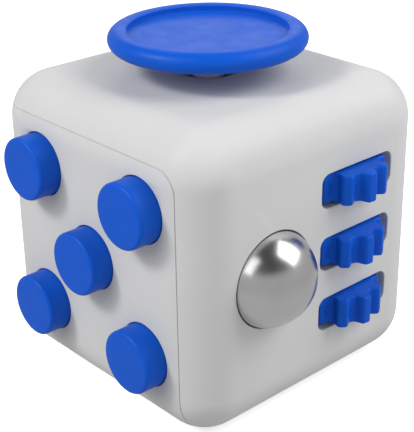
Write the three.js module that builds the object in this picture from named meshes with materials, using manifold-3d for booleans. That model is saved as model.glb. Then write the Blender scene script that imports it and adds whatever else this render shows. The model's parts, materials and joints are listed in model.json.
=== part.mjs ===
// Fidget cube: a 33 mm rounded plastic cube with a different toy on each face.
// Millimetres, +Z up, origin at the middle of the bottom face, on the surface the cube rests on.
//   -X click face: five push buttons                         +X flip face: a rocker switch
//   -Y roll face: a steel ball and three toothed wheels      +Y spin face: a turning dial
//   +Z glide face: a disc on a tilting stem                  -Z rest face: a shallow thumb dish
// The body is two shells of three faces each: front (-Y, +Z, +X) and rear (-X, +Y, -Z).
import * as THREE from 'three';
import { mergeVertices } from 'three/addons/utils/BufferGeometryUtils.js';
import { RoundedBoxGeometry } from 'three/addons/geometries/RoundedBoxGeometry.js';
import Module from 'manifold-3d';

const wasm = await Module();
wasm.setup();

// ---------------------------------------------------------------- driving dimensions

const cube = { size: 33, edgeRadius: 5.05, wall: 1.8, innerRadius: 2.2 };
cube.half = cube.size / 2;

// The shells meet at an open seam, and a thin lap of the rear shell reaches under the front one.
const seam = { reach: 13.05, cornerRadius: 2.1, gap: 0.12, lap: 1.2, skin: 0.9 };

const button = { radius: 3.39, proud: 2.5, pitch: 8.045, edge: 0.35, holeRadius: 3.6 };
button.flange = { radius: 3.95, bore: 2.6, front: -2.0, back: -2.9 };
button.boss = { radius: 1.5, end: -4.0 };
const clickBoard = { half: 10.9, front: -7.1, thickness: 0.8, postOffset: 9.3, postRadius: 1.4 };
const clickSwitch = { half: 2.25, front: -4.9, height: 2.0, plungerRadius: 1.2, travelGap: 0.15 };

const ball = { x: -6.48, y: 0.09, z: -1.32, radius: 5.25, clearance: 0.1 };
const cup = { radius: 5.9, bore: 5.2, front: -2.9, step: -6.0, floor: -7.1, back: -7.9, boss: -8.6 };
const seatRingSize = { inner: 3.2, outer: 5.0, front: -3.9, play: 0.15 };
const ballSwitch = { half: 1.75, front: -9.6, height: 2.0, plungerRadius: 1.0, travelGap: 0.15 };
// The carrier behind the roll face: its plate, the axle arms and the round guide of the ball's cup.
const carrier = { back: -10, plateFront: -9, halfWidth: 5.2, bossRadius: 1.9, bossFront: -4.65 };
carrier.arms = { low: 3.3, high: 7.9 };
carrier.guide = { radius: 6.9, bore: 6.1, front: -4.3 };
carrier.cage = { low: -8.3, high: -4.5, inner: 3.4, floor: -11.8, back: -12.8 };

const gear = { x: 5.36, y: 0.25, z: -2.0, pitch: 7.05, teeth: 10, tip: 4.62, root: 3.72, thickness: 3.2 };
gear.phase = -5.2;
const axle = { radius: 0.75, low: -9.8, high: 10.4, bore: 0.84 };
const slot = { x: 5.44, drop: 0.06, width: 10.54, height: 3.77, cornerRadius: 1.0 };

const disc = { radius: 10.53, recess: 8.5, floor: 3.85, underside: 2.55 };
disc.rim = { halfWidth: 1.3, halfHeight: 1.12, height: 3.6 };
const stem = { radius: 1.6, hub: 3.0, pivotDepth: -4.8, holeRadius: 3.0 };
const skirt = { radius: 4.06, spread: 62 };
const gimbal = { inner: 4.2, outer: 6.0, height: 2.2, pinRadius: 0.8, trunnion: 0.9, reach: 8.0 };
const pivotPlay = 0.09;
const ear = { inner: 7.0, outer: 8.2, halfWidth: 2.8, front: -3.3 };
const bridge = { back: -11, front: -9.8, radius: 4.0 };
const coil = { radius: 2.3, wire: 0.25, low: -9.6, high: -6.6, turns: 4 };
const glideScrew = 10.5;
const glideLug = [-4.9, -3.8];

const rocker = { halfWidth: 3.9, halfLength: 6.45, slope: 10, pivotDepth: -2.5, crown: 0.3, reach: 3.3 };
const rockerHole = { halfWidth: 4.2, halfHeight: 7.25, cornerRadius: 0.8 };
const rockerPin = { radius: 0.6, bore: 0.69, hole: 0.7, half: 5.5, holeHalf: 7 };
const leaf = { halfWidth: 1.8, halfLength: 8.2, back: -6.25, front: -5.95 };

const dial = { radius: 8.8, proud: 3.93, gap: 0.3, edge: 1.1, foot: 0.5 };
const dialShaft = { radius: 2.6, end: -2.1, hole: 2.8 };
const fingerDish = { radius: 3.4, offset: 4.7, lift: 1.5 };
const washer = { radius: 4.0, bore: 0.85, back: -2.9, front: -2.3 };
const dish = { x: 10.8, y: 8.53, z: 4.2, lift: 2.0, skin: 1.8 };

// Self-tapping screws, and the holes their shanks enter.
const boardScrew = { head: 1.0, headHeight: 0.7, shank: 0.42, length: 3.6, pilot: 0.55, hole: 0.6 };
const bracketScrew = { head: 1.2, headHeight: 0.9, shank: 0.5, length: 3.4, pilot: 0.6, hole: 0.7 };
const glideScrewSize = { head: 1.2, headHeight: 0.9, shank: 0.5, length: 3.5, pilot: 0.6, hole: 0.7 };
const dialScrew = { head: 1.6, headHeight: 0.9, shank: 0.7, length: 4.4, pilot: 0.8 };
const headGap = 0.15;
const screwBossRadius = 1.9;

const shellPlastic = { color: 0xd9d8d5, roughness: 0.55, metalness: 0 };
const bluePlastic = { color: 0x1450d8, roughness: 0.42, metalness: 0 };
const whitePlastic = { color: 0xe9e8e2, roughness: 0.6, metalness: 0 };
const blackPlastic = { color: 0x1c1d20, roughness: 0.6, metalness: 0 };
const polishedSteel = { color: 0xc8c9cb, roughness: 0.15, metalness: 1 };
const brushedSteel = { color: 0xa9abad, roughness: 0.4, metalness: 1 };
const boardGreen = { color: 0x1d6b3c, roughness: 0.5, metalness: 0 };
const silicone = { color: 0xb9bdc2, roughness: 0.75, metalness: 0 };

// ---------------------------------------------------------------- solids

// A three.js geometry as a closed manifold solid.
function solid(geometry) {
  const bare = geometry.clone();
  for (const name of Object.keys(bare.attributes)) {
    if (name !== 'position') bare.deleteAttribute(name);
  }
  const merged = mergeVertices(bare, 1e-4);
  const vertProperties = new Float32Array(merged.attributes.position.array);
  const triVerts = new Uint32Array(merged.index.array);
  return new wasm.Manifold(new wasm.Mesh({ numProp: 3, vertProperties, triVerts }));
}

function toGeometry(manifold) {
  const mesh = manifold.getMesh();
  const geometry = new THREE.BufferGeometry();
  geometry.setAttribute('position', new THREE.BufferAttribute(new Float32Array(mesh.vertProperties), 3));
  geometry.setIndex(new THREE.BufferAttribute(new Uint32Array(mesh.triVerts), 1));
  return geometry;
}

const join = (first, ...others) => toGeometry(others.reduce((sum, g) => sum.add(solid(g)), solid(first)));
const cut = (first, ...tools) => toGeometry(tools.reduce((rest, g) => rest.subtract(solid(g)), solid(first)));
const common = (first, second) => toGeometry(solid(first).intersect(solid(second)));

// A round bar of the given radius along +Z, from z0 to z1.
function bar(radius, z0, z1, segments = 24, x = 0, y = 0) {
  const geometry = new THREE.CylinderGeometry(radius, radius, z1 - z0, segments);
  return geometry.rotateX(Math.PI / 2).translate(x, y, (z0 + z1) / 2);
}

function barAlongX(radius, x0, x1, y, z, segments = 24) {
  return bar(radius, x0, x1, segments).rotateY(Math.PI / 2).translate(0, y, z);
}

function barAlongY(radius, y0, y1, x, z, segments = 24) {
  return bar(radius, -y1, -y0, segments).rotateX(Math.PI / 2).translate(x, 0, z);
}

// A block between two opposite corners.
function block(x0, x1, y0, y1, z0, z1) {
  const geometry = new THREE.BoxGeometry(x1 - x0, y1 - y0, z1 - z0);
  return geometry.translate((x0 + x1) / 2, (y0 + y1) / 2, (z0 + z1) / 2);
}

function roundedRectangle(halfX, halfY, radius) {
  const shape = new THREE.Shape();
  shape.absarc(halfX - radius, halfY - radius, radius, 0, Math.PI / 2);
  shape.absarc(radius - halfX, halfY - radius, radius, Math.PI / 2, Math.PI);
  shape.absarc(radius - halfX, radius - halfY, radius, Math.PI, Math.PI * 1.5);
  shape.absarc(halfX - radius, radius - halfY, radius, Math.PI * 1.5, Math.PI * 2);
  return shape;
}

function prism(shape, z0, z1, curveSegments = 2) {
  const settings = { depth: z1 - z0, bevelEnabled: false, curveSegments };
  return new THREE.ExtrudeGeometry(shape, settings).translate(0, 0, z0);
}

// A solid of revolution about Z; the profile is a list of [radius, z], from axis to axis.
function turned(profile, segments = 32) {
  const points = profile.map(([r, z]) => new THREE.Vector2(r, z));
  return new THREE.LatheGeometry(points, segments).rotateX(Math.PI / 2);
}

// Points of an arc in a [radius, z] profile, angles in degrees from the outward direction.
function arc(r, z, radius, from, to, steps) {
  return Array.from({ length: steps + 1 }, (_, i) => {
    const angle = THREE.MathUtils.degToRad(from + ((to - from) * i) / steps);
    return [r + radius * Math.cos(angle), z + radius * Math.sin(angle)];
  });
}

// ---------------------------------------------------------------- scene

const fidgetCube = new THREE.Group();

// Each face has a frame of its own: x to the right and y up as seen from outside,
// z outward, with the origin at the middle of the face.
function faceGroup(outward, up) {
  const group = new THREE.Group();
  const right = new THREE.Vector3().crossVectors(up, outward);
  group.quaternion.setFromRotationMatrix(new THREE.Matrix4().makeBasis(right, up, outward));
  group.position.copy(outward).multiplyScalar(cube.half).add(new THREE.Vector3(0, 0, cube.half));
  group.updateMatrix();
  fidgetCube.add(group);
  return group;
}

const upward = new THREE.Vector3(0, 0, 1);
const clickFace = faceGroup(new THREE.Vector3(-1, 0, 0), upward);
const rollFace = faceGroup(new THREE.Vector3(0, -1, 0), upward);
const flipFace = faceGroup(new THREE.Vector3(1, 0, 0), upward);
const spinFace = faceGroup(new THREE.Vector3(0, 1, 0), upward);
const glideFace = faceGroup(upward, new THREE.Vector3(0, 1, 0));

function addPiece(parent, name, geometry, finish, x = 0, y = 0, z = 0) {
  const mesh = new THREE.Mesh(geometry, new THREE.MeshStandardMaterial(finish));
  mesh.name = name;
  mesh.position.set(x, y, z);
  parent.add(mesh);
}

// A cross-head screw seen along +Z: the head's flat underside is at z = 0, the shank rises from it.
function screw({ head, headHeight, shank, length }) {
  const reach = head * 0.65;
  const halfSlit = 0.15;
  const floor = -headHeight / 2;
  const recess = join(
    block(-reach, reach, -halfSlit, halfSlit, floor - headHeight, floor),
    block(-halfSlit, halfSlit, -reach, reach, floor - headHeight, floor),
  );
  return cut(join(bar(head, -headHeight, 0, 14), bar(shank, -headHeight / 4, length, 8)), recess);
}

// The two ends of a span at distances near and far from the middle, on one side of it, low end first.
const span = (side, near, far) => [Math.min(side * near, side * far), Math.max(side * near, side * far)];

// ---------------------------------------------------------------- click face

const buttonPlaces = [
  [0, 0],
  [button.pitch, button.pitch],
  [button.pitch, -button.pitch],
  [-button.pitch, button.pitch],
  [-button.pitch, -button.pitch],
];
const clickingButtons = 3;
const postPlaces = [
  [0, clickBoard.postOffset],
  [0, -clickBoard.postOffset],
  [-clickBoard.postOffset, 0],
];

// The cap is hollow behind its flange; its boss reaches back to the switch or the dome.
function buttonCap() {
  const { radius, proud, edge, flange, boss } = button;
  return turned([
    [0, boss.end],
    [boss.radius, boss.end],
    [boss.radius, flange.front],
    [flange.bore, flange.front],
    [flange.bore, flange.back],
    [flange.radius, flange.back],
    [flange.radius, flange.front],
    [radius, flange.front],
    ...arc(radius - edge, proud - edge, edge, 0, 90, 2),
    [0, proud],
  ], 24);
}

// A tact switch: a square block with a round well for its plunger.
function switchBody({ half, front, height, plungerRadius, travelGap }) {
  const body = block(-half, half, -half, half, front - height, front);
  return cut(body, bar(plungerRadius + travelGap, front - height * 0.65, front + height, 20));
}

function switchPlunger({ front, plungerRadius }, contact) {
  return bar(plungerRadius, front - 0.6, contact, 20);
}

function siliconeDome() {
  const base = clickBoard.front + 0.2;
  return turned([
    [0, -4.9],
    [1.1, -4.9],
    [2.1, -6.3],
    [2.1, base],
    [2.75, base],
    [2.75, -6.2],
    [1.7, -4.4],
    [1.7, -4.15],
    [0, -4.15],
  ], 24);
}

// The board is cut back on the side where the ball's carrier reaches behind it.
function switchBoard() {
  const { half, front, thickness } = clickBoard;
  const sheet = prism(roundedRectangle(half, half, 1), front - thickness, front);
  const notch = block(3.4, half + 1, ball.y - 5.6, ball.y + 5.6, front - 2, front + 2);
  const holes = postPlaces.map(([x, y]) => bar(boardScrew.hole, front - 2, front + 2, 12, x, y));
  return cut(sheet, notch, ...holes);
}

function buildClickFace() {
  addPiece(clickFace, 'click_board', switchBoard(), boardGreen);
  postPlaces.forEach(([x, y], i) => {
    const back = clickBoard.front - clickBoard.thickness - headGap;
    addPiece(clickFace, `board_screw_${i + 1}`, screw(boardScrew), brushedSteel, x, y, back);
  });
  buttonPlaces.forEach(([x, y], i) => {
    addPiece(clickFace, `button_${i + 1}`, buttonCap(), bluePlastic, x, y);
    if (i < clickingButtons) {
      const plunger = switchPlunger(clickSwitch, button.boss.end - clickSwitch.travelGap);
      addPiece(clickFace, `click_switch_${i + 1}`, switchBody(clickSwitch), blackPlastic, x, y);
      addPiece(clickFace, `switch_plunger_${i + 1}`, plunger, whitePlastic, x, y);
    } else {
      addPiece(clickFace, `silicone_dome_${i + 1 - clickingButtons}`, siliconeDome(), silicone, x, y);
    }
  });
}

// ---------------------------------------------------------------- roll face

const gearPlaces = [gear.y + gear.pitch, gear.y, gear.y - gear.pitch];
const bracketScrews = [
  [-4.2, 9.3],
  [-4.2, -9.3],
  [11.9, gear.y + gear.pitch / 2],
];
const bossDepth = -4.5;
// The arms stand between the wheels and beyond the outer two, along the axle.
const armSpans = [
  [9.375, 10.5],
  [2.325, 5.325],
  [-4.725, -1.725],
  [-9.9, -8.775],
];

// Round-topped teeth with hollow valleys, about the Y axis.
function gearWheel() {
  const stepsPerTooth = 10;
  const count = gear.teeth * stepsPerTooth;
  const outline = new THREE.Shape();
  for (let i = 0; i < count; i += 1) {
    const turn = (i / count) * Math.PI * 2;
    const wave = Math.cos(turn * gear.teeth);
    const rise = THREE.MathUtils.smoothstep(wave, -0.95, 0.75);
    const radius = gear.root + (gear.tip - gear.root) * rise;
    const angle = turn - Math.PI / 2 + THREE.MathUtils.degToRad(gear.phase);
    const x = radius * Math.cos(angle);
    const y = radius * Math.sin(angle);
    if (i === 0) outline.moveTo(x, y);
    else outline.lineTo(x, y);
  }
  const half = gear.thickness / 2;
  const wheel = cut(prism(outline, -half, half), bar(axle.bore, -half - 1, half + 1, 24));
  return wheel.rotateX(Math.PI / 2);
}

// The carrier holds the axle in open notches, guides the ball's cup and cages its switch.
function rollBracket() {
  const { back, plateFront, halfWidth, bossRadius, bossFront, arms, guide, cage } = carrier;
  const tallBoss = bracketScrews[2];
  const bossBack = bossFront - 1.15;
  const strip = (x0, x1, z0, z1) => block(x0, x1, ball.y - halfWidth, ball.y + halfWidth, z0, z1);
  const pieces = [
    strip(-12.6, 9.2, back, plateFront),
    block(arms.low, 9.2, armSpans[3][0], armSpans[0][1], back, plateFront),
    block(8.6, 12, tallBoss[1] - bossRadius, tallBoss[1] + bossRadius, back, plateFront),
    bar(bossRadius, back, bossFront, 24, ...tallBoss),
    common(bar(guide.radius, back + 0.5, guide.front, 32, ball.x, ball.y), strip(-20, 20, -20, 0)),
    strip(cage.low, cage.high, cage.back, cage.floor),
  ];
  for (const [low, high] of armSpans) {
    pieces.push(block(arms.low, arms.high, low, high, back, gear.z));
  }
  for (const [x, y] of bracketScrews.slice(0, 2)) {
    pieces.push(bar(bossRadius, bossBack, bossFront, 24, x, y));
    pieces.push(block(x, -1.7, ...span(Math.sign(y), 4.6, Math.abs(y)), bossBack, bossFront));
  }
  for (const side of [-1, 1]) {
    const [low, high] = span(side, cage.inner, halfWidth);
    pieces.push(block(cage.low, cage.high, ball.y + low, ball.y + high, cage.back, back + 0.5));
  }
  const window = ballSwitch.half + 0.25;
  const cuts = [
    bar(guide.bore, plateFront, -1, 36, ball.x, ball.y),
    block(ball.x - window, ball.x + window, ball.y - window, ball.y + window, back - 1, plateFront + 1),
    barAlongY(axle.radius + 0.1, -11, 11, gear.x, gear.z, 20),
    bar(bracketScrew.head + headGap, back - 1, bossBack, 20, ...tallBoss),
    ...bracketScrews.map(([x, y]) => bar(bracketScrew.hole, back, 0, 16, x, y)),
  ];
  return cut(join(...pieces), ...cuts);
}

function ballCup() {
  return turned([
    [0, cup.boss],
    [1.4, cup.boss],
    [1.4, cup.back],
    [cup.radius, cup.back],
    [cup.radius, cup.front],
    [cup.bore, cup.front],
    [cup.bore, cup.step],
    [4.0, cup.step],
    [4.0, cup.floor],
    [0, cup.floor],
  ], 28);
}

// A ring with a hollow seat that the ball turns on.
function seatRing() {
  const seat = ball.radius + ball.clearance;
  const { inner, outer, front, play } = seatRingSize;
  return turned([
    [inner, cup.step + play],
    [outer, cup.step + play],
    [outer, front],
    ...arc(0, ball.z, seat, -29, -53, 3),
    [inner, cup.step + play],
  ], 32);
}

function buildRollFace() {
  const { x, y } = ball;
  gearPlaces.forEach((height, i) => {
    addPiece(rollFace, `gear_${i + 1}`, gearWheel(), bluePlastic, gear.x, height, gear.z);
  });
  const pin = barAlongY(axle.radius, axle.low, axle.high, 0, 0, 20);
  addPiece(rollFace, 'gear_axle', pin, polishedSteel, gear.x, 0, gear.z);
  addPiece(rollFace, 'roll_bracket', rollBracket(), whitePlastic);
  bracketScrews.forEach(([sx, sy], i) => {
    const back = carrier.bossFront - 1.15 - headGap;
    addPiece(rollFace, `bracket_screw_${i + 1}`, screw(bracketScrew), brushedSteel, sx, sy, back);
  });
  const sphere = new THREE.SphereGeometry(ball.radius, 28, 18);
  addPiece(rollFace, 'roller_ball', sphere, polishedSteel, x, y, ball.z);
  addPiece(rollFace, 'ball_seat_ring', seatRing(), whitePlastic, x, y);
  addPiece(rollFace, 'ball_cup', ballCup(), blackPlastic, x, y);
  const plunger = switchPlunger(ballSwitch, cup.boss - ballSwitch.travelGap);
  addPiece(rollFace, 'ball_switch', switchBody(ballSwitch), blackPlastic, x, y);
  addPiece(rollFace, 'ball_switch_plunger', plunger, whitePlastic, x, y);
}

// ---------------------------------------------------------------- glide face

// The rim is an oval ring around a recessed floor with a narrow ledge.
function joystickCap() {
  const { radius, recess, floor, underside, rim } = disc;
  const rimCentre = radius - rim.halfWidth;
  const towardsRecess = THREE.MathUtils.radToDeg(Math.acos((recess - rimCentre) / rim.halfWidth));
  const oval = arc(0, 0, 1, -86, towardsRecess, 9);
  return turned([
    [0, 3.05],
    [stem.radius + 0.1, 3.05],
    [stem.radius + 0.1, 1.3],
    [2.8, 1.3],
    [2.8, underside],
    [8.4, underside],
    ...oval.map(([x, z]) => [rimCentre + rim.halfWidth * x, rim.height + rim.halfHeight * z]),
    [recess, floor + 0.12],
    [recess - 0.25, floor + 0.12],
    [recess - 0.25, floor],
    [0, floor - 0.16],
  ], 32);
}

// A domed skirt about the pivot closes the stem's opening at every tilt.
function joystickStem() {
  const neck = THREE.MathUtils.radToDeg(Math.acos(stem.radius / skirt.radius));
  const post = turned([
    [0, -7.6],
    [1.3, -7.6],
    [1.3, -6.4],
    [stem.hub, -6.3],
    [stem.hub, -3.3],
    ...arc(0, stem.pivotDepth, skirt.radius, 90 - skirt.spread, neck, 6),
    [stem.radius, 2.85],
    [0, 2.85],
  ], 28);
  const reach = gimbal.outer - 0.1;
  return join(post, barAlongX(gimbal.pinRadius, -reach, reach, 0, stem.pivotDepth, 20));
}

function gimbalRing() {
  const low = stem.pivotDepth - gimbal.height / 2;
  const high = stem.pivotDepth + gimbal.height / 2;
  const trunnions = barAlongY(gimbal.trunnion, -gimbal.reach, gimbal.reach, 0, stem.pivotDepth, 20);
  const ring = join(bar(gimbal.outer, low, high, 30), trunnions);
  const centre = bar(gimbal.inner, low - 2, high + 2, 26);
  const pinHole = barAlongX(gimbal.pinRadius + pivotPlay, -8, 8, 0, stem.pivotDepth, 20);
  return cut(ring, centre, pinHole);
}

function joystickBracket() {
  const { back, front, radius } = bridge;
  const { inner, outer, halfWidth } = ear;
  const pieces = [
    block(-halfWidth, halfWidth, -outer, outer, back, front),
    bar(radius, back, front, 28),
  ];
  for (const side of [-1, 1]) {
    pieces.push(block(-halfWidth, halfWidth, ...span(side, inner, outer), back, ear.front));
    pieces.push(block(-screwBossRadius, screwBossRadius, ...span(side, inner, 12.2), ...glideLug));
  }
  const cuts = [
    barAlongY(gimbal.trunnion + pivotPlay, -10, 10, 0, stem.pivotDepth, 20),
    bar(glideScrewSize.hole, -6, 0, 16, 0, glideScrew),
    bar(glideScrewSize.hole, -6, 0, 16, 0, -glideScrew),
    bar(1.2, back - 1, front + 1, 16),
  ];
  return cut(join(...pieces), ...cuts);
}

class Helix extends THREE.Curve {
  constructor(radius, low, high, turns) {
    super();
    Object.assign(this, { radius, low, high, turns });
  }

  getPoint(t, target = new THREE.Vector3()) {
    const angle = t * this.turns * Math.PI * 2;
    const height = this.low + (this.high - this.low) * t;
    return target.set(this.radius * Math.cos(angle), this.radius * Math.sin(angle), height);
  }
}

function coilSpring({ radius, wire, low, high, turns }) {
  const section = new THREE.Shape();
  section.absarc(0, 0, wire, 0, Math.PI * 2);
  const path = new Helix(radius, low + wire, high - wire, turns);
  const settings = { steps: turns * 12, curveSegments: 3, extrudePath: path, bevelEnabled: false };
  return new THREE.ExtrudeGeometry(section, settings);
}

function buildGlideFace() {
  addPiece(glideFace, 'joystick_cap', joystickCap(), bluePlastic);
  addPiece(glideFace, 'joystick_stem', joystickStem(), shellPlastic);
  addPiece(glideFace, 'gimbal_ring', gimbalRing(), whitePlastic);
  addPiece(glideFace, 'joystick_bracket', joystickBracket(), whitePlastic);
  addPiece(glideFace, 'joystick_spring', coilSpring(coil), brushedSteel);
  [glideScrew, -glideScrew].forEach((y, i) => {
    const back = glideLug[0] - headGap;
    addPiece(glideFace, `joystick_screw_${i + 1}`, screw(glideScrewSize), brushedSteel, 0, y, back);
  });
}

// ---------------------------------------------------------------- flip face

// The rocker's outer face is a shallow valley, its back a blunt cam of two flats.
function rockerSwitch() {
  const { halfWidth, halfLength, slope, crown, reach } = rocker;
  const fall = Math.tan(THREE.MathUtils.degToRad(slope));
  const outline = new THREE.Shape();
  const half = [
    [0, crown],
    [halfLength, crown + halfLength * fall],
    [6.9, -1.0],
    [6.0, -1.9],
    [2.4, -3.6],
    [2.0, rocker.pivotDepth - reach + 2.0 * fall],
    [0, rocker.pivotDepth - reach],
  ];
  const points = [...half, ...half.slice(1, -1).reverse().map(([y, z]) => [-y, z])];
  points.forEach(([y, z], i) => {
    if (i === 0) outline.moveTo(y, z - rocker.pivotDepth);
    else outline.lineTo(y, z - rocker.pivotDepth);
  });
  const body = prism(outline, -halfWidth, halfWidth);
  const upright = new THREE.Matrix4().makeBasis(
    new THREE.Vector3(0, 1, 0),
    new THREE.Vector3(0, 0, 1),
    new THREE.Vector3(1, 0, 0),
  );
  body.applyMatrix4(upright);
  const bored = cut(body, barAlongX(rockerPin.bore, -rockerPin.holeHalf, rockerPin.holeHalf, 0, 0, 20));
  return bored.rotateX(THREE.MathUtils.degToRad(slope));
}

function buildFlipFace() {
  addPiece(flipFace, 'rocker', rockerSwitch(), bluePlastic, 0, 0, rocker.pivotDepth);
  const pin = barAlongX(rockerPin.radius, -rockerPin.half, rockerPin.half, 0, 0, 20);
  addPiece(flipFace, 'rocker_pin', pin, polishedSteel, 0, 0, rocker.pivotDepth);
  const { halfWidth, halfLength, back, front } = leaf;
  const strip = block(-halfWidth, halfWidth, -halfLength, halfLength, back, front);
  addPiece(flipFace, 'rocker_leaf_spring', strip, brushedSteel);
}

// ---------------------------------------------------------------- spin face

function spinDial() {
  const { radius, proud, gap, edge, foot } = dial;
  const body = turned([
    [0, dialShaft.end],
    [dialShaft.radius, dialShaft.end],
    [dialShaft.radius, gap],
    ...arc(radius - foot, gap + foot, foot, -90, 0, 2),
    ...arc(radius - edge, proud - edge, edge, 0, 90, 4),
    [0, proud],
  ], 36);
  const hollow = new THREE.SphereGeometry(fingerDish.radius, 20, 12);
  hollow.translate(0, fingerDish.offset, proud + fingerDish.lift);
  return cut(body, hollow, bar(dialScrew.pilot, dialShaft.end - 0.9, 1.8, 16));
}

function buildSpinFace() {
  addPiece(spinFace, 'dial', spinDial(), bluePlastic);
  const { radius, bore, back, front } = washer;
  const flatWasher = cut(bar(radius, back, front, 32), bar(bore, back - 1, front + 1, 20));
  addPiece(spinFace, 'dial_washer', flatWasher, brushedSteel);
  addPiece(spinFace, 'dial_screw', screw(dialScrew), brushedSteel, 0, 0, back - headGap);
}

// ---------------------------------------------------------------- body shell

// Cuts and bosses are laid out in the frame of the face that they belong to.
const onFace = (face, geometry) => geometry.applyMatrix4(face.matrix);

// A dish about the bottom face: an ellipsoid whose centre is below the face.
function ellipsoid(x, y, z, lift) {
  return new THREE.SphereGeometry(1, 24, 14).scale(x, y, z).translate(0, 0, -lift);
}

// The ball's opening follows the ball, so its outer lip is narrower than the ball and keeps it in.
function ballOpening() {
  const radius = ball.radius + ball.clearance;
  const lip = Math.sqrt(radius ** 2 - ball.z ** 2);
  const steepest = THREE.MathUtils.radToDeg(Math.asin(-ball.z / radius));
  const profile = [[0, -3], [radius, -3], ...arc(0, ball.z, radius, 0, steepest, 3), [lip, 1], [0, 1]];
  return turned(profile, 32).translate(ball.x, ball.y, 0);
}

// A box that takes in the rear corner of the cube and ends in front of the other three faces.
function rearBox(reach, cornerRadius) {
  const side = cube.size * 1.5;
  const middle = reach - side / 2;
  const corner = new RoundedBoxGeometry(side, side, side, 2, cornerRadius);
  return corner.translate(middle, -middle, middle + cube.half);
}

// What belongs to the rear shell: up to the seam on the outside, and a little past it underneath.
function rearZone(growth) {
  const reach = seam.reach + growth;
  const core = cube.size - 2 * (seam.skin - growth);
  const coreRadius = cube.edgeRadius - seam.skin + growth;
  const underlayer = new RoundedBoxGeometry(core, core, core, 3, coreRadius).translate(0, 0, cube.half);
  const lap = common(underlayer, rearBox(reach + seam.lap, seam.cornerRadius + seam.lap));
  return join(rearBox(reach, seam.cornerRadius), lap);
}

function cubeWalls() {
  const { size, half, edgeRadius, wall, innerRadius } = cube;
  const inner = size - 2 * wall;
  const outside = new RoundedBoxGeometry(size, size, size, 4, edgeRadius);
  const inside = new RoundedBoxGeometry(inner, inner, inner, 1, innerRadius);
  return cut(outside, inside).translate(0, 0, half);
}

// A groove behind the wheels' slots takes the front of the axle.
function axleGroove() {
  const half = axle.radius + 0.2;
  return block(gear.x - half, gear.x + half, axle.low - 0.3, axle.high + 0.3, -2.5, gear.z + half);
}

// The leaf spring's ends lie in slots that leave it a little play.
function leafPocket() {
  const { halfWidth, halfLength, back, front } = leaf;
  const play = 0.15;
  const ends = halfLength + 2 * play;
  return block(-halfWidth - 2 * play, halfWidth + 2 * play, -ends, ends, back - play, front + play);
}

function frontShell() {
  const bosses = [
    ...bracketScrews.map(([x, y]) => onFace(rollFace, bar(screwBossRadius, bossDepth, -1, 16, x, y))),
    ...[glideScrew, -glideScrew].map((y) => onFace(glideFace, bar(screwBossRadius, -3.65, -1, 16, 0, y))),
  ];
  for (const side of [-1, 1]) {
    bosses.push(onFace(flipFace, block(...span(side, 4.3, 5.6), -2.2, 2.2, -5.0, -1)));
    bosses.push(onFace(flipFace, block(-2.4, 2.4, ...span(side, 7.6, 9.2), -7.2, -1)));
  }
  const { halfWidth, halfHeight, cornerRadius } = rockerHole;
  const { hole, holeHalf } = rockerPin;
  const openings = [
    onFace(glideFace, bar(stem.holeRadius, -4, 2, 28)),
    onFace(flipFace, prism(roundedRectangle(halfWidth, halfHeight, cornerRadius), -2.4, 2)),
    onFace(flipFace, barAlongX(hole, -holeHalf, holeHalf, 0, rocker.pivotDepth, 20)),
    onFace(flipFace, leafPocket()),
    onFace(rollFace, ballOpening()),
    onFace(rollFace, axleGroove()),
  ];
  for (const height of gearPlaces) {
    const outline = roundedRectangle(slot.width / 2, slot.height / 2, slot.cornerRadius);
    openings.push(onFace(rollFace, prism(outline, -3, 2).translate(slot.x, height - slot.drop, 0)));
  }
  for (const [x, y] of bracketScrews) {
    openings.push(onFace(rollFace, bar(bracketScrew.pilot, bossDepth - 1, -1.6, 10, x, y)));
  }
  for (const y of [glideScrew, -glideScrew]) {
    openings.push(onFace(glideFace, bar(glideScrewSize.pilot, -5, -0.9, 10, 0, y)));
  }
  const walls = cut(cubeWalls(), rearZone(seam.gap / 2));
  return cut(join(walls, ...bosses), ...openings);
}

const postHole = (x, y) => bar(boardScrew.pilot, clickBoard.front - 1, -3.5, 12, x, y);

function rearShell() {
  const { half, wall } = cube;
  const { x, y, z, skin, lift } = dish;
  const bulge = common(
    ellipsoid(x + skin, y + skin, z + skin, lift),
    block(1 - half, half - 1, 1 - half, half - 1, wall / 2, 8),
  );
  const { postRadius, front } = clickBoard;
  const post = (px, py) => bar(postRadius, front + headGap, -1, 20, px, py);
  const posts = postPlaces.map(([px, py]) => onFace(clickFace, post(px, py)));
  const openings = [
    ...buttonPlaces.map(([bx, by]) => onFace(clickFace, bar(button.holeRadius, -3, 1, 24, bx, by))),
    ...postPlaces.map(([px, py]) => onFace(clickFace, postHole(px, py))),
    onFace(spinFace, bar(dialShaft.hole, -4, 2, 28)),
    ellipsoid(x, y, z, lift),
  ];
  const walls = common(cubeWalls(), rearZone(-seam.gap / 2));
  return cut(join(walls, bulge, ...posts), ...openings);
}

addPiece(fidgetCube, 'front_shell', frontShell(), shellPlastic);
addPiece(fidgetCube, 'rear_shell', rearShell(), shellPlastic);
buildClickFace();
buildRollFace();
buildGlideFace();
buildFlipFace();
buildSpinFace();

export default fidgetCube;
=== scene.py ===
"""Looks of the fidget cube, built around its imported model."""
import json
import math

import bmesh
import bpy
from mathutils import Matrix, Vector


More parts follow.
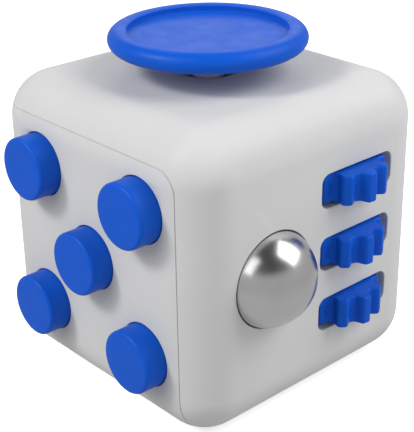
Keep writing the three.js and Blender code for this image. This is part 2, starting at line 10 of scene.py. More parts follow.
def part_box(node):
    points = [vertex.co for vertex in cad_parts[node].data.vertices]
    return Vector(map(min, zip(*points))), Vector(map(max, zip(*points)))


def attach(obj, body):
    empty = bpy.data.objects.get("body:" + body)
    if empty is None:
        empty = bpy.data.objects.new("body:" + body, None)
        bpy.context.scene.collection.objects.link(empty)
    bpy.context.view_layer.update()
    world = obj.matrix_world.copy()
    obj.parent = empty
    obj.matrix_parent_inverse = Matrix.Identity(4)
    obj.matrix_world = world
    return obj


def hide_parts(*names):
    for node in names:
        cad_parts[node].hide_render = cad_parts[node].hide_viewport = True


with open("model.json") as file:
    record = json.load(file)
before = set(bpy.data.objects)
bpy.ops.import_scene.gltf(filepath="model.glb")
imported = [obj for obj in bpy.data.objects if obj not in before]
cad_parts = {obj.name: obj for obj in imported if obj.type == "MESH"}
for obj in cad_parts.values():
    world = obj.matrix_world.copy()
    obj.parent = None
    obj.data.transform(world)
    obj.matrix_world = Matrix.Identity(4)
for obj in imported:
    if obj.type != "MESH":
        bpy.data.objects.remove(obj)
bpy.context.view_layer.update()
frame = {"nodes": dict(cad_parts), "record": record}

# ------------------------------------------------------------------ sizes, in millimetres

MM = 0.001


def size_mm(node):
    """(lowest corner, highest corner) of a CAD node in millimetres."""
    low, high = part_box(node)
    return low / MM, high / MM


def middle_mm(node):
    low, high = size_mm(node)
    return (low + high) / 2


# Heights along a face's normal count outward from the face, and CAM_TIP from the rocker's pivot.
HALF = -size_mm("front_shell")[0].y
CENTRE = Vector((0, 0, HALF))
EDGE_RADIUS = 5.05
WALL = 1.8
INNER_RADIUS = 2.2

SEAM_REACH = 13.05
SEAM_CORNER = 2.1
SEAM_HALF_WIDTH = 0.012
GROOVE_HALF_WIDTH = 0.055
GROOVE_DEPTH = 0.07
LAP = 1.2
LAP_SKIN = 0.9

SMALL_EDGE = 0.1
BOSS_ROOT = -1.0
BOSS_RADIUS = 1.9
BOSS_PILOT = 0.6
BRACKET_BOSS_END = -4.5
JOYSTICK_BOSS_END = -3.65
POST_RADIUS = 1.4
POST_PILOT = 0.55
POST_END = -6.95

DISH_RADIUS = 9.3
DISH_DEPTH = 2.2
DISH_NARROWING = 0.79
BULGE_RADIUS = 11.2
BULGE_HEIGHT = 3.6
BULGE_BASE = -0.4
BULGE_NARROWING = 0.8

BUTTON_RADIUS = 3.39
BUTTON_HOLE = 3.47
BUTTON_EDGE = 0.35
BUTTON_STEM = 1.5
BUTTON_STEM_END = -4.0
BUTTON_FLANGE = 3.95
FLANGE_BORE = 2.6
FLANGE_FRONT = -2.0
FLANGE_BACK = -2.9

SLOT_CENTRE_X = 5.44
SLOT_DROP = 0.06
SLOT_HALF_WIDTH = 5.27
SLOT_HALF_HEIGHT = 1.885
SLOT_CORNER = 1.0

GEAR_TEETH = 10
GEAR_TIP = 4.62
GEAR_ROOT = 3.72
TOOTH_START = -0.95
TOOTH_FLANK = 1.7
GEAR_EDGE = 0.22
GEAR_BORE = 0.84
GEAR_PHASE = -5.2
AXLE_GROOVE_HALF = 0.95
AXLE_GROOVE_DEPTH = -1.05

BALL_RADIUS = 5.25
BALL_GAP = 0.1

RIM_HALF_WIDTH = 1.3
RIM_HALF_HEIGHT = 1.12
DISC_RECESS = 8.5
DISC_FLOOR = 3.85
DISC_UNDERSIDE = 2.55
UNDERSIDE_REACH = 8.4
LEDGE_RISE = 0.12
FLOOR_HOLLOW = 0.16
HUB_RADIUS = 2.8
HUB_BOTTOM = 1.3
SOCKET_TOP = 3.05
STEM_RADIUS = 1.6
STEM_TOP = 2.85
STEM_END = -7.6
STEM_PEG = 1.3
STEM_HOLE = 3.0
FOOT_RADIUS = 3.0
FOOT_BOTTOM = -6.3
FOOT_TOP = -3.3
PIVOT = -4.8
PIVOT_PIN = 0.8
PIVOT_PIN_REACH = 5.9
SKIRT_RADIUS = 4.06
SKIRT_SPREAD = 62

ROCKER_HALF_LENGTH = 6.45
ROCKER_HALF_WIDTH = 3.9
ROCKER_EDGE = 0.35
ROCKER_BORE = 0.69
ROCKER_WINDOW = (4.2, 7.25)
PIN_HOLE = 0.7
PIN_BLOCK = (4.3, 5.6)
PIN_BLOCK_HALF = 2.2
PIN_BLOCK_END = -5.0
SPRING_BLOCK = (7.6, 9.2)
SPRING_BLOCK_HALF = 2.4
SPRING_BLOCK_END = -7.2
SPRING_SLOT = (2.1, 8.5)
CAM_HALF_LENGTH = 2.0
CAM_TIP = -3.3
ROCKER_SLOPE = math.radians(10)
ROCKER_PIVOT = -2.5
ROCKER_CROWN = 0.3

DIAL_SHAFT = 2.6
DIAL_HOLE = 2.8
DIAL_GAP = 0.3
DIAL_BACK = -2.1
DIAL_SCREW_BORE = 0.8
DIMPLE_RADIUS = 3.4
DIMPLE_DEPTH = 1.9
DIMPLE_OFFSET = 4.7

# ------------------------------------------------------------------ faces


def face_frame(outward, up=(0, 0, 1)):
    """x right and y up as seen from outside, z outward, origin at the middle of the face."""
    outward, up = Vector(outward), Vector(up)
    right = up.cross(outward)
    frame_matrix = Matrix((right, up, outward)).transposed().to_4x4()
    frame_matrix.translation = CENTRE + outward * HALF
    return frame_matrix


CLICK = face_frame((-1, 0, 0))
ROLL = face_frame((0, -1, 0))
FLIP = face_frame((1, 0, 0))
SPIN = face_frame((0, 1, 0))
GLIDE = face_frame((0, 0, 1), up=(0, 1, 0))
REST = face_frame((0, 0, -1), up=(0, 1, 0))


def on_face(face, node):
    """The middle of a CAD node in the frame of a face, in millimetres."""
    return face.inverted() @ middle_mm(node)


# ------------------------------------------------------------------ mesh building


def arc(x, z, radius, start, end, steps):
    """Points of an arc in a profile; angles in degrees."""
    angles = [math.radians(start + (end - start) * i / steps) for i in range(steps + 1)]
    return [(x + radius * math.cos(a), z + radius * math.sin(a)) for a in angles]


def stack(rings, closed=False):
    """A solid whose skin runs from ring to ring; the end rings are capped, or joined if closed."""
    bm = bmesh.new()
    loops = [[bm.verts.new(p) for p in ring] for ring in rings]
    pairs = list(zip(loops, loops[1:]))
    if closed:
        pairs.append((loops[-1], loops[0]))
    for lower, upper in pairs:
        count = len(lower)
        for i in range(count):
            j = (i + 1) % count
            bm.faces.new((lower[i], lower[j], upper[j], upper[i]))
    if not closed:
        bm.faces.new(list(reversed(loops[0])))
        bm.faces.new(loops[-1])
    bmesh.ops.remove_doubles(bm, verts=bm.verts, dist=1e-5)
    bmesh.ops.dissolve_degenerate(bm, edges=bm.edges, dist=1e-6)
    bmesh.ops.recalc_face_normals(bm, faces=bm.faces)
    return bm


def circle(radius, z, count, x=0.0, y=0.0):
    turn = 2 * math.pi / count
    return [
        Vector((x + radius * math.cos(i * turn), y + radius * math.sin(i * turn), z))
        for i in range(count)
    ]


def lathe(profile, count=96, closed=False):
    """A solid of revolution about z; profile points are (radius, z)."""
    return stack([circle(max(r, 1e-7), z, count) for r, z in profile], closed)


def rounded_rectangle(half_x, half_y, radius, z, steps=8):
    points = []
    for quarter in range(4):
        sign_x = 1 if quarter in (0, 3) else -1
        sign_y = 1 if quarter in (0, 1) else -1
        cx, cy = sign_x * (half_x - radius), sign_y * (half_y - radius)
        for x, y in arc(cx, cy, radius, 90 * quarter, 90 * quarter + 90, steps):
            points.append(Vector((x, y, z)))
    return points


def block(x0, x1, y0, y1, z0, z1):
    corners = [(x0, y0), (x1, y0), (x1, y1), (x0, y1)]
    return stack([[Vector((x, y, z)) for x, y in corners] for z in (z0, z1)])


def bar(radius, z0, z1, x=0.0, y=0.0, count=40):
    return stack([circle(radius, z, count, x, y) for z in (z0, z1)])


def bar_along_x(radius, x0, x1, y, z, count=32):
    bm = bar(radius, x0, x1, count=count)
    bm.transform(Matrix.Translation((0, y, z)) @ Matrix.Rotation(math.pi / 2, 4, "Y"))
    return bm


def lip(radius, steps=4):
    """(offset, depth) points of a rounded edge of an opening, from its throat up through the face."""
    points = [(radius * (1 - math.cos(a)), -radius * (1 - math.sin(a)))
              for a in (math.radians(68) * i / steps for i in range(steps + 1))]
    (x0, z0), (x1, z1) = points[-2:]
    slope = (x1 - x0) / (z1 - z0)
    return points + [(x1 + slope * (0.4 - z1), 0.4)]


def round_cutter(radius, depth, edge, x=0.0, y=0.0, count=96):
    """Cuts a round hole whose outer edge is rounded."""
    levels = [(0.0, -depth)] + lip(edge)
    return stack([circle(radius + o, z, count, x, y) for o, z in levels])


def slot_cutter(half_x, half_y, corner, depth, edge, x=0.0, y=0.0):
    """Cuts a rounded rectangular hole whose outer edge is rounded."""
    rings = []
    for o, z in [(0.0, -depth)] + lip(edge):
        ring = rounded_rectangle(half_x + o, half_y + o, corner + o, z)
        rings.append([p + Vector((x, y, 0)) for p in ring])
    return stack(rings)


def rounded_box(half, radius, steps, centre=(0, 0, 0)):
    """A box with rounded edges and spherical corners; half is one number or one for each axis."""
    half = Vector((half,) * 3) if isinstance(half, (int, float)) else Vector(half)
    inner = half - Vector((radius,) * 3)
    bm = bmesh.new()
    rise = [radius * math.tan(math.pi / 4 * i / steps) for i in range(steps + 1)]
    for axis in range(3):
        across = [i for i in range(3) if i != axis]
        for side in (-1, 1):
            lines = []
            for a in across:
                grown = [inner[a] + r for r in rise]
                lines.append([-g for g in reversed(grown)] + grown)
            grid = []
            for u in lines[0]:
                row = []
                for v in lines[1]:
                    p = Vector((0, 0, 0))
                    p[axis] = side * half[axis]
                    p[across[0]] = u
                    p[across[1]] = v
                    core = Vector([max(-inner[i], min(inner[i], p[i])) for i in range(3)])
                    row.append(bm.verts.new(core + (p - core).normalized() * radius))
                grid.append(row)
            for i in range(len(grid) - 1):
                for j in range(len(grid[0]) - 1):
                    bm.faces.new((grid[i][j], grid[i + 1][j], grid[i + 1][j + 1], grid[i][j + 1]))
    bmesh.ops.remove_doubles(bm, verts=bm.verts, dist=1e-4)
    bmesh.ops.recalc_face_normals(bm, faces=bm.faces)
    bmesh.ops.translate(bm, verts=bm.verts, vec=Vector(centre))
    return bm


def moved(bm, face):
    bm.transform(face)
    return bm


def scratch_object(bm):
    mesh = bpy.data.meshes.new("scratch")
    bm.to_mesh(mesh)
    bm.free()
    thing = bpy.data.objects.new("scratch", mesh)
    bpy.context.scene.collection.objects.link(thing)
    return thing


def boolean(base, steps):
    """base after each (operation, tool) of steps; all are closed bmeshes, and are used up."""
    target = scratch_object(base)
    used = [target]
    for operation, tool in steps:
        other = scratch_object(tool)
        used.append(other)
        modifier = target.modifiers.new("step", "BOOLEAN")
        modifier.operation = operation
        modifier.solver = "EXACT"
        modifier.object = other
    bpy.context.view_layer.update()
    depsgraph = bpy.context.evaluated_depsgraph_get()
    mesh = bpy.data.meshes.new_from_object(target.evaluated_get(depsgraph))
    result = bmesh.new()
    result.from_mesh(mesh)
    bmesh.ops.dissolve_degenerate(result, dist=0.00005, edges=result.edges)
    for thing in used:
        bpy.data.objects.remove(thing)
    bpy.data.meshes.remove(mesh)
    return result


def cut(base, *tools):
    return boolean(base, [("DIFFERENCE", tool) for tool in tools])


def piece(name, bm, face, body, nodes, material, sharp=32.0, place=(0, 0, 0)):
    """A finished piece: in place, in metres, smooth shaded, riding on its body."""
    bm.transform(Matrix.Scale(MM, 4) @ face @ Matrix.Translation(place))
    mesh = bpy.data.meshes.new(name)
    bm.to_mesh(mesh)
    bm.free()
    mesh.shade_smooth()
    mesh.set_sharp_from_angle(angle=math.radians(sharp))
    thing = bpy.data.objects.new(name, mesh)
    bpy.context.scene.collection.objects.link(thing)
    mesh.materials.append(material)
    weighted = thing.modifiers.new("weighted normals", "WEIGHTED_NORMAL")
    weighted.keep_sharp = True
    weighted.weight = 100
    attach(thing, body)
    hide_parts(*nodes)
    return thing


# ------------------------------------------------------------------ materials


class Shader:
    """A Principled material under construction; patterns are in millimetres of the row frame."""

    def __init__(self, name, **values):
        self.material = bpy.data.materials.new(name)
        self.material.use_nodes = True
        self.tree = self.material.node_tree
        self.tree.nodes.clear()
        self.out = self.add("ShaderNodeOutputMaterial")
        self.shader = self.add("ShaderNodeBsdfPrincipled")
        self.link(self.shader.outputs["BSDF"], self.out.inputs["Surface"])
        for socket, value in values.items():
            self.shader.inputs[socket.replace("_", " ")].default_value = value
        place = self.add("ShaderNodeTexCoord")
        scale = self.add("ShaderNodeVectorMath", operation="SCALE")
        scale.inputs["Scale"].default_value = 1 / MM
        self.link(place.outputs["Object"], scale.inputs[0])
        self.place = scale.outputs["Vector"]

    def add(self, kind, **settings):
        node = self.tree.nodes.new(kind)
        for key, value in settings.items():
            setattr(node, key, value)
        return node

    def link(self, source, target):
        self.tree.links.new(source, target)

    def stretched(self, scale, turn=(0, 0, 0)):
        """The pattern space stretched and turned."""
        node = self.add("ShaderNodeMapping")
        node.inputs["Scale"].default_value = scale
        node.inputs["Rotation"].default_value = turn
        self.link(self.place, node.inputs["Vector"])
        return node.outputs["Vector"]

    def noise(self, per_mm, detail=3.0, roughness=0.5, where=None):
        node = self.add("ShaderNodeTexNoise")
        node.inputs["Scale"].default_value = per_mm
        node.inputs["Detail"].default_value = detail
        node.inputs["Roughness"].default_value = roughness
        self.link(where or self.place, node.inputs["Vector"])
        return node.outputs["Fac"]

    def remap(self, source, low, high, to_low, to_high):
        node = self.add("ShaderNodeMapRange")
        for key, value in zip(("From Min", "From Max", "To Min", "To Max"), (low, high, to_low, to_high)):
            node.inputs[key].default_value = value
        self.link(source, node.inputs["Value"])
        return node.outputs["Result"]

    def mix(self, factor, first, second):
        """Between two colours; each is a colour or the output of another node."""
        node = self.add("ShaderNodeMix", data_type="RGBA")
        self.link(factor, node.inputs["Factor"])
        for socket, value in ((node.inputs[6], first), (node.inputs[7], second)):
            if isinstance(value, tuple):
                socket.default_value = (*value, 1.0)
            else:
                self.link(value, socket)
        return node.outputs[2]

    def add_up(self, first, second):
        node = self.add("ShaderNodeMath", operation="ADD")
        self.link(first, node.inputs[0])
        self.link(second, node.inputs[1])
        return node.outputs["Value"]

    def bump(self, height, distance, strength, after=None):
        node = self.add("ShaderNodeBump")
        node.inputs["Strength"].default_value = strength
        node.inputs["Distance"].default_value = distance * MM
        self.link(height, node.inputs["Height"])
        if after is not None:
            self.link(after, node.inputs["Normal"])
        return node.outputs["Normal"]

    def colour(self, source):
        self.link(source, self.shader.inputs["Base Color"])

    def rough(self, source):
        self.link(source, self.shader.inputs["Roughness"])

    def normal(self, source):
        self.link(source, self.shader.inputs["Normal"])


def lighter(colour, factor):
    return tuple(min(1.0, c * factor) for c in colour)


def moulded_plastic(name, colour, rough, texture=0.35, specular=0.5, variation=0.05, worn=0.06):
    """Moulded plastic: cloudy colour, a fine spark-eroded texture, handling marks and polished edges."""
    s = Shader(name, IOR=1.49, Specular_IOR_Level=specular)
    clouds = s.noise(0.16, detail=4.0)
    pale, deep = lighter(colour, 1 + variation), lighter(colour, 1 - variation)
    body = s.mix(s.remap(clouds, 0.3, 0.7, 0, 1), deep, pale)
    grain = s.noise(9.0, detail=2.0)
    body = s.mix(s.remap(grain, 0.35, 0.75, 0, 0.35), body, lighter(colour, 1 - 1.6 * variation))
    edges = s.add("ShaderNodeNewGeometry").outputs["Pointiness"]
    edge_wear = s.remap(edges, 0.53, 0.62, 0, worn)
    body = s.mix(edge_wear, body, lighter(colour, 1.5))
    s.colour(body)
    smears = s.noise(0.5, detail=5.0, roughness=0.6)
    handled = s.remap(smears, 0.35, 0.7, rough - 0.05, rough + 0.06)
    s.rough(s.add_up(handled, s.remap(grain, 0.4, 0.6, -0.03, 0.03)))
    fine = s.bump(s.noise(7.0, detail=4.0, roughness=0.6), 0.02, texture)
    wavy = s.bump(s.noise(0.25, detail=1.0), 0.06, 0.05, after=fine)
    s.normal(wavy)
    return s.material


def polished_metal(name, colour, rough, scratches=0.25):
    """Polished steel: faint hazy smears and hairline scratches in two directions."""
    s = Shader(name, Metallic=1.0)
    tint = s.noise(0.3, detail=3.0)
    s.colour(s.mix(s.remap(tint, 0.3, 0.7, 0, 1), lighter(colour, 0.94), lighter(colour, 1.03)))
    haze = s.noise(0.7, detail=6.0, roughness=0.65)
    s.rough(s.remap(haze, 0.3, 0.75, rough - 0.02, rough + 0.03))
    hairs = s.noise(1.0, detail=2.0, where=s.stretched((22, 1.2, 1.2), (0.4, 0.9, 0.3)))
    cross = s.noise(1.0, detail=2.0, where=s.stretched((1.2, 1.0, 26), (0.2, -0.5, 1.1)))
    both = s.add_up(s.remap(hairs, 0.6, 0.75, 0, 1), s.remap(cross, 0.62, 0.75, 0, 1))
    s.normal(s.bump(both, 0.003, scratches))
    return s.material


def drawn_steel(name, colour, rough):
    """Drawn or plated steel: streaks along one way, dull patches and a fine tooth."""
    s = Shader(name, Metallic=1.0)
    streaks = s.noise(1.0, detail=4.0, where=s.stretched((3, 14, 14)))
    s.colour(s.mix(s.remap(streaks, 0.3, 0.7, 0, 1), lighter(colour, 0.8), lighter(colour, 1.12)))
    s.rough(s.remap(s.noise(1.8, detail=4.0), 0.3, 0.7, rough - 0.08, rough + 0.1))
    s.normal(s.bump(streaks, 0.01, 0.3))
    return s.material


def circuit_board(name):
    """Solder resist over woven glass, with paler traces showing through."""
    s = Shader(name, IOR=1.5)
    weave = s.add("ShaderNodeTexWave", wave_type="BANDS", bands_direction="Y")
    weave.inputs["Scale"].default_value = 1.6
    weave.inputs["Distortion"].default_value = 0.6
    s.link(s.place, weave.inputs["Vector"])
    traces = s.add("ShaderNodeTexBrick")
    traces.inputs["Scale"].default_value = 0.35
    traces.inputs["Mortar Size"].default_value = 0.03
    s.link(s.stretched((1, 1, 1), (0, math.pi / 2, 0)), traces.inputs["Vector"])
    green = s.mix(weave.outputs["Fac"], (0.010, 0.13, 0.050), (0.014, 0.17, 0.070))
    s.colour(s.mix(traces.outputs["Fac"], green, (0.03, 0.30, 0.12)))
    s.rough(s.remap(s.noise(2.0), 0.3, 0.7, 0.3, 0.42))
    s.normal(s.bump(weave.outputs["Fac"], 0.02, 0.3))
    return s.material


def silicone_rubber(name, colour):
    """Translucent silicone: soft, dusty, with a slight inner glow."""
    s = Shader(name, IOR=1.41, Subsurface_Weight=0.3, Subsurface_Scale=0.001)
    dust = s.noise(2.5, detail=6.0, roughness=0.7)
    s.colour(s.mix(s.remap(dust, 0.35, 0.7, 0, 1), lighter(colour, 0.93), lighter(colour, 1.08)))
    s.rough(s.remap(dust, 0.3, 0.7, 0.55, 0.8))
    s.normal(s.bump(dust, 0.02, 0.3))
    return s.material


MATERIALS = {
    "shell_plastic": moulded_plastic("grey shell plastic", (0.55, 0.55, 0.55), 0.52, texture=0.2,
                                     specular=0.22, variation=0.015),
    "blue_plastic": moulded_plastic("blue plastic", (0.003, 0.080, 0.51), 0.42, texture=0.14,
                                    specular=0.12, variation=0.03),
    "white_plastic": moulded_plastic("white acetal", (0.80, 0.79, 0.74), 0.38, texture=0.2, variation=0.02),
    "black_plastic": moulded_plastic("black nylon", (0.022, 0.022, 0.024), 0.5, texture=0.5, variation=0.15),
    "polished_steel": polished_metal("polished steel", (0.62, 0.62, 0.63), 0.24, scratches=0.05),
    "spring_steel": drawn_steel("spring steel", (0.56, 0.57, 0.59), 0.3),
    "screw_steel": drawn_steel("zinc plated steel", (0.50, 0.51, 0.53), 0.38),
    "circuit_board": circuit_board("circuit board"),
    "silicone": silicone_rubber("silicone", (0.55, 0.57, 0.60)),
}

# ------------------------------------------------------------------ body shell


def dish_profile(width, depth, edge):
    """Radius and height of half a dish: a shallow bowl with a rounded lip."""
    angles = [math.radians(6 * i) for i in range(1, 13)]
    bowl = [(width * math.sin(t), -depth * math.cos(t)) for t in angles]
    lip_points = [(width + edge * 0.2, -0.12), (width + edge * 0.75, -0.02), (width + 2 * edge, 0.12)]
    return [(0, -depth)] + bowl + lip_points + [(width + 2 * edge, 1.0), (0, 1.0)]


def rear_box(reach, radius, side=50.0):
    """A box that takes in the rear corner of the cube and ends short of its other three faces."""
    middle = reach - side / 2
    return rounded_box(side / 2, radius, 6, (middle, -middle, middle + HALF))


def rear_zone(growth):
    """What belongs to the rear shell: up to the seam, and underneath a lap that reaches past it."""
    half = HALF - LAP_SKIN + growth
    lap = boolean(rounded_box(half, EDGE_RADIUS - LAP_SKIN + growth, 5, CENTRE), [
        ("INTERSECT", rear_box(SEAM_REACH + LAP + growth, SEAM_CORNER + LAP, 49.0)),
    ])
    return boolean(rear_box(SEAM_REACH + growth, SEAM_CORNER), [("UNION", lap)])


def seam_groove():
    """The shallow groove that the seam lies in, all round the body."""
    return boolean(rear_box(SEAM_REACH + GROOVE_HALF_WIDTH, SEAM_CORNER, 48.0), [
        ("DIFFERENCE", rear_box(SEAM_REACH - GROOVE_HALF_WIDTH, SEAM_CORNER, 52.0)),
        ("DIFFERENCE", rounded_box(HALF - GROOVE_DEPTH, EDGE_RADIUS - GROOVE_DEPTH, 9, CENTRE)),
    ])


def walls():
    return cut(rounded_box(HALF, EDGE_RADIUS, 9, CENTRE), rounded_box(HALF - WALL, INNER_RADIUS, 3, CENTRE))


def screw_places(face, name, count):
    return [on_face(face, f"{name}_{i + 1}") for i in range(count)]


def front_shell():
    """The faces with the ball and wheels, the disc and the rocker, with their bosses inside."""
    steps = [("DIFFERENCE", rear_zone(SEAM_HALF_WIDTH)), ("DIFFERENCE", seam_groove())]
    bracket_screws = screw_places(ROLL, "bracket_screw", 3)
    joystick_screws = screw_places(GLIDE, "joystick_screw", 2)
    bosses = [(ROLL, BRACKET_BOSS_END, at) for at in bracket_screws]
    bosses += [(GLIDE, JOYSTICK_BOSS_END, at) for at in joystick_screws]
    for face, end, at in bosses:
        steps.append(("UNION", moved(bar(BOSS_RADIUS, end, BOSS_ROOT, at.x, at.y), face)))
    for side in (-1, 1):
        x0, x1 = sorted(side * x for x in PIN_BLOCK)
        pin_block = block(x0, x1, -PIN_BLOCK_HALF, PIN_BLOCK_HALF, PIN_BLOCK_END, BOSS_ROOT)
        y0, y1 = sorted(side * y for y in SPRING_BLOCK)
        spring_block = block(-SPRING_BLOCK_HALF, SPRING_BLOCK_HALF, y0, y1, SPRING_BLOCK_END, BOSS_ROOT)
        steps += [("UNION", moved(pin_block, FLIP)), ("UNION", moved(spring_block, FLIP))]

    openings = [
        moved(round_cutter(STEM_HOLE, 4.0, 0.3), GLIDE),
        moved(slot_cutter(*ROCKER_WINDOW, 0.8, 2.4, 0.18), FLIP),
        moved(bar_along_x(PIN_HOLE, -7.0, 7.0, 0, ROCKER_PIVOT), FLIP),
        moved(block(-SPRING_SLOT[0], SPRING_SLOT[0], -SPRING_SLOT[1], SPRING_SLOT[1], -6.4, -5.8), FLIP),
        moved(ball_opening(), ROLL),
    ]
    for i in (1, 2, 3):
        y = on_face(ROLL, f"gear_{i}").y - SLOT_DROP
        tool = slot_cutter(SLOT_HALF_WIDTH, SLOT_HALF_HEIGHT, SLOT_CORNER, 3.0, 0.12, SLOT_CENTRE_X, y)
        openings.append(moved(tool, ROLL))
    axle = on_face(ROLL, "gear_axle").x
    groove = block(axle - AXLE_GROOVE_HALF, axle + AXLE_GROOVE_HALF, -10.1, 10.7, -2.5, AXLE_GROOVE_DEPTH)
    openings.append(moved(groove, ROLL))
    openings += [moved(bar(BOSS_PILOT, -5.5, -1.6, at.x, at.y, 24), ROLL) for at in bracket_screws]
    openings += [moved(bar(BOSS_PILOT, -5.0, -0.9, at.x, at.y, 24), GLIDE) for at in joystick_screws]
    return boolean(walls(), steps + [("DIFFERENCE", tool) for tool in openings])


def ball_opening():
    """The opening follows the ball, with a thin lip around it."""
    at = on_face(ROLL, "roller_ball")
    reach = BALL_RADIUS + BALL_GAP
    steepest = math.degrees(math.asin(-at.z / reach))
    throat = arc(0, at.z, reach, 0, steepest, 6)
    mouth = throat[-1][0]
    edge = [(mouth, -0.06), (mouth + 0.06, 0), (mouth + 0.2, 1.0), (0, 1.0)]
    tool = lathe([(0, -3.0), (reach, -3.0)] + throat[:-1] + edge, 96)
    tool.transform(Matrix.Translation((at.x, at.y, 0)))
    return tool


def rear_shell():
    """The faces with the buttons, the dial and the thumb dish."""
    steps = [("INTERSECT", rear_zone(-SEAM_HALF_WIDTH)), ("DIFFERENCE", seam_groove())]
    angles = [math.radians(9 * i) for i in range(1, 11)]
    profile = [(BULGE_RADIUS * math.sin(t), BULGE_BASE - BULGE_HEIGHT * math.cos(t)) for t in angles]
    bulge = lathe([(0, BULGE_BASE - BULGE_HEIGHT)] + profile + [(0, BULGE_BASE)], 64)
    bulge.transform(REST @ Matrix.Diagonal((1, BULGE_NARROWING, 1, 1)))
    posts = screw_places(CLICK, "board_screw", 3)
    steps.append(("UNION", bulge))
    steps += [("UNION", moved(bar(POST_RADIUS, POST_END, BOSS_ROOT, at.x, at.y), CLICK)) for at in posts]
    for i in range(1, 6):
        at = on_face(CLICK, f"button_{i}")
        steps.append(("DIFFERENCE", moved(round_cutter(BUTTON_HOLE, 3.0, 0.1, at.x, at.y), CLICK)))
    steps += [("DIFFERENCE", moved(bar(POST_PILOT, -8.1, -3.5, at.x, at.y, 24), CLICK)) for at in posts]
    dish = lathe(dish_profile(DISH_RADIUS, DISH_DEPTH, 0.5), 96)
    dish.transform(REST @ Matrix.Diagonal((1, DISH_NARROWING, 1, 1)))
    steps += [("DIFFERENCE", moved(round_cutter(DIAL_HOLE, 4.0, 0.2), SPIN)), ("DIFFERENCE", dish)]
    return boolean(walls(), steps)


def build_housing():
    plastic = MATERIALS["shell_plastic"]
    for name, build in (("front_half", front_shell), ("rear_half", rear_shell)):
        node = name.replace("half", "shell")
        piece(name, build(), Matrix.Identity(4), "housing", [node], plastic)


# ------------------------------------------------------------------ click face


def button_cap(proud):
    """A cap with a stem for its switch or dome and a flange that keeps it behind the face."""
    side, edge = BUTTON_RADIUS, SMALL_EDGE
    profile = [
        (0, BUTTON_STEM_END), (BUTTON_STEM - edge, BUTTON_STEM_END), (BUTTON_STEM, BUTTON_STEM_END + edge),
        (BUTTON_STEM, FLANGE_FRONT), (FLANGE_BORE, FLANGE_FRONT), (FLANGE_BORE, FLANGE_BACK + edge),
        (FLANGE_BORE + edge, FLANGE_BACK), (BUTTON_FLANGE - edge, FLANGE_BACK),
        (BUTTON_FLANGE, FLANGE_BACK + edge), (BUTTON_FLANGE, FLANGE_FRONT - edge),
        (BUTTON_FLANGE - edge, FLANGE_FRONT), (side, FLANGE_FRONT), (side, FLANGE_FRONT / 2),
    ]
    profile += arc(side - BUTTON_EDGE, proud - BUTTON_EDGE, BUTTON_EDGE, 0, 90, 8)
    profile += [(side * 0.6, proud), (0, proud)]
    return lathe(profile, 96)


def build_buttons():
    for i in range(1, 6):
        name = f"button_{i}"
        at = on_face(CLICK, name)
        proud = -HALF - size_mm(name)[0].x
        piece(f"button_cap_{i}", button_cap(proud), CLICK, name, [name],
              MATERIALS["blue_plastic"], place=(at.x, at.y, 0))


# ------------------------------------------------------------------ roll face


def gear_outline(shrink, z, per_tooth=28):
    """One ring of a wheel's toothed outline, drawn in by shrink along its own normals."""
    count = GEAR_TEETH * per_tooth
    points = []
    for i in range(count):
        turn = 2 * math.pi * i / count
        wave = math.cos(turn * GEAR_TEETH)
        share = max(0.0, min(1.0, (wave - TOOTH_START) / TOOTH_FLANK))
        radius = GEAR_ROOT + (GEAR_TIP - GEAR_ROOT) * share * share * (3 - 2 * share)
        angle = turn - math.pi / 2 + math.radians(GEAR_PHASE)
        points.append(Vector((radius * math.cos(angle), radius * math.sin(angle), 0)))
    ring = []
    for i, p in enumerate(points):
        along = (points[(i + 1) % count] - points[i - 1]).normalized()
        normal = Vector((along.y, -along.x, 0))
        ring.append(p - normal * shrink + Vector((0, 0, z)))
    return ring


def gear_wheel(thickness):
    """A toothed wheel with rounded edges and a plain bore."""
    half = thickness / 2
    rings = []
    for side in (-1, 1):
        corner = [(GEAR_EDGE * (1 - math.cos(a)), half - GEAR_EDGE * (1 - math.sin(a)))
                  for a in (math.radians(18 * i) for i in range(6))]
        if side == -1:
            corner.reverse()
        rings += [gear_outline(shrink, side * height) for shrink, height in corner]
    count = len(rings[0])
    start = math.radians(GEAR_PHASE) - math.pi / 2
    turns = [start + 2 * math.pi / count * i for i in range(count)]
    for z in (half, -half):
        rings.append([Vector((GEAR_BORE * math.cos(t), GEAR_BORE * math.sin(t), z)) for t in turns])
    return stack(rings, closed=True)


def build_roll_face():
    for i in range(1, 4):
        name = f"gear_{i}"
        low, high = size_mm(name)
        axis = middle_mm("gear_axle")
        place = Matrix.Translation((axis.x, axis.y, (low.z + high.z) / 2))
        piece(f"toothed_wheel_{i}", gear_wheel(high.z - low.z), place, name, [name],
              MATERIALS["blue_plastic"])
    ball = bmesh.new()
    bmesh.ops.create_icosphere(ball, subdivisions=6, radius=BALL_RADIUS)
    piece("ball", ball, Matrix.Translation(middle_mm("roller_ball")), "roller_ball", ["roller_ball"],
          MATERIALS["polished_steel"])


# ------------------------------------------------------------------ glide face


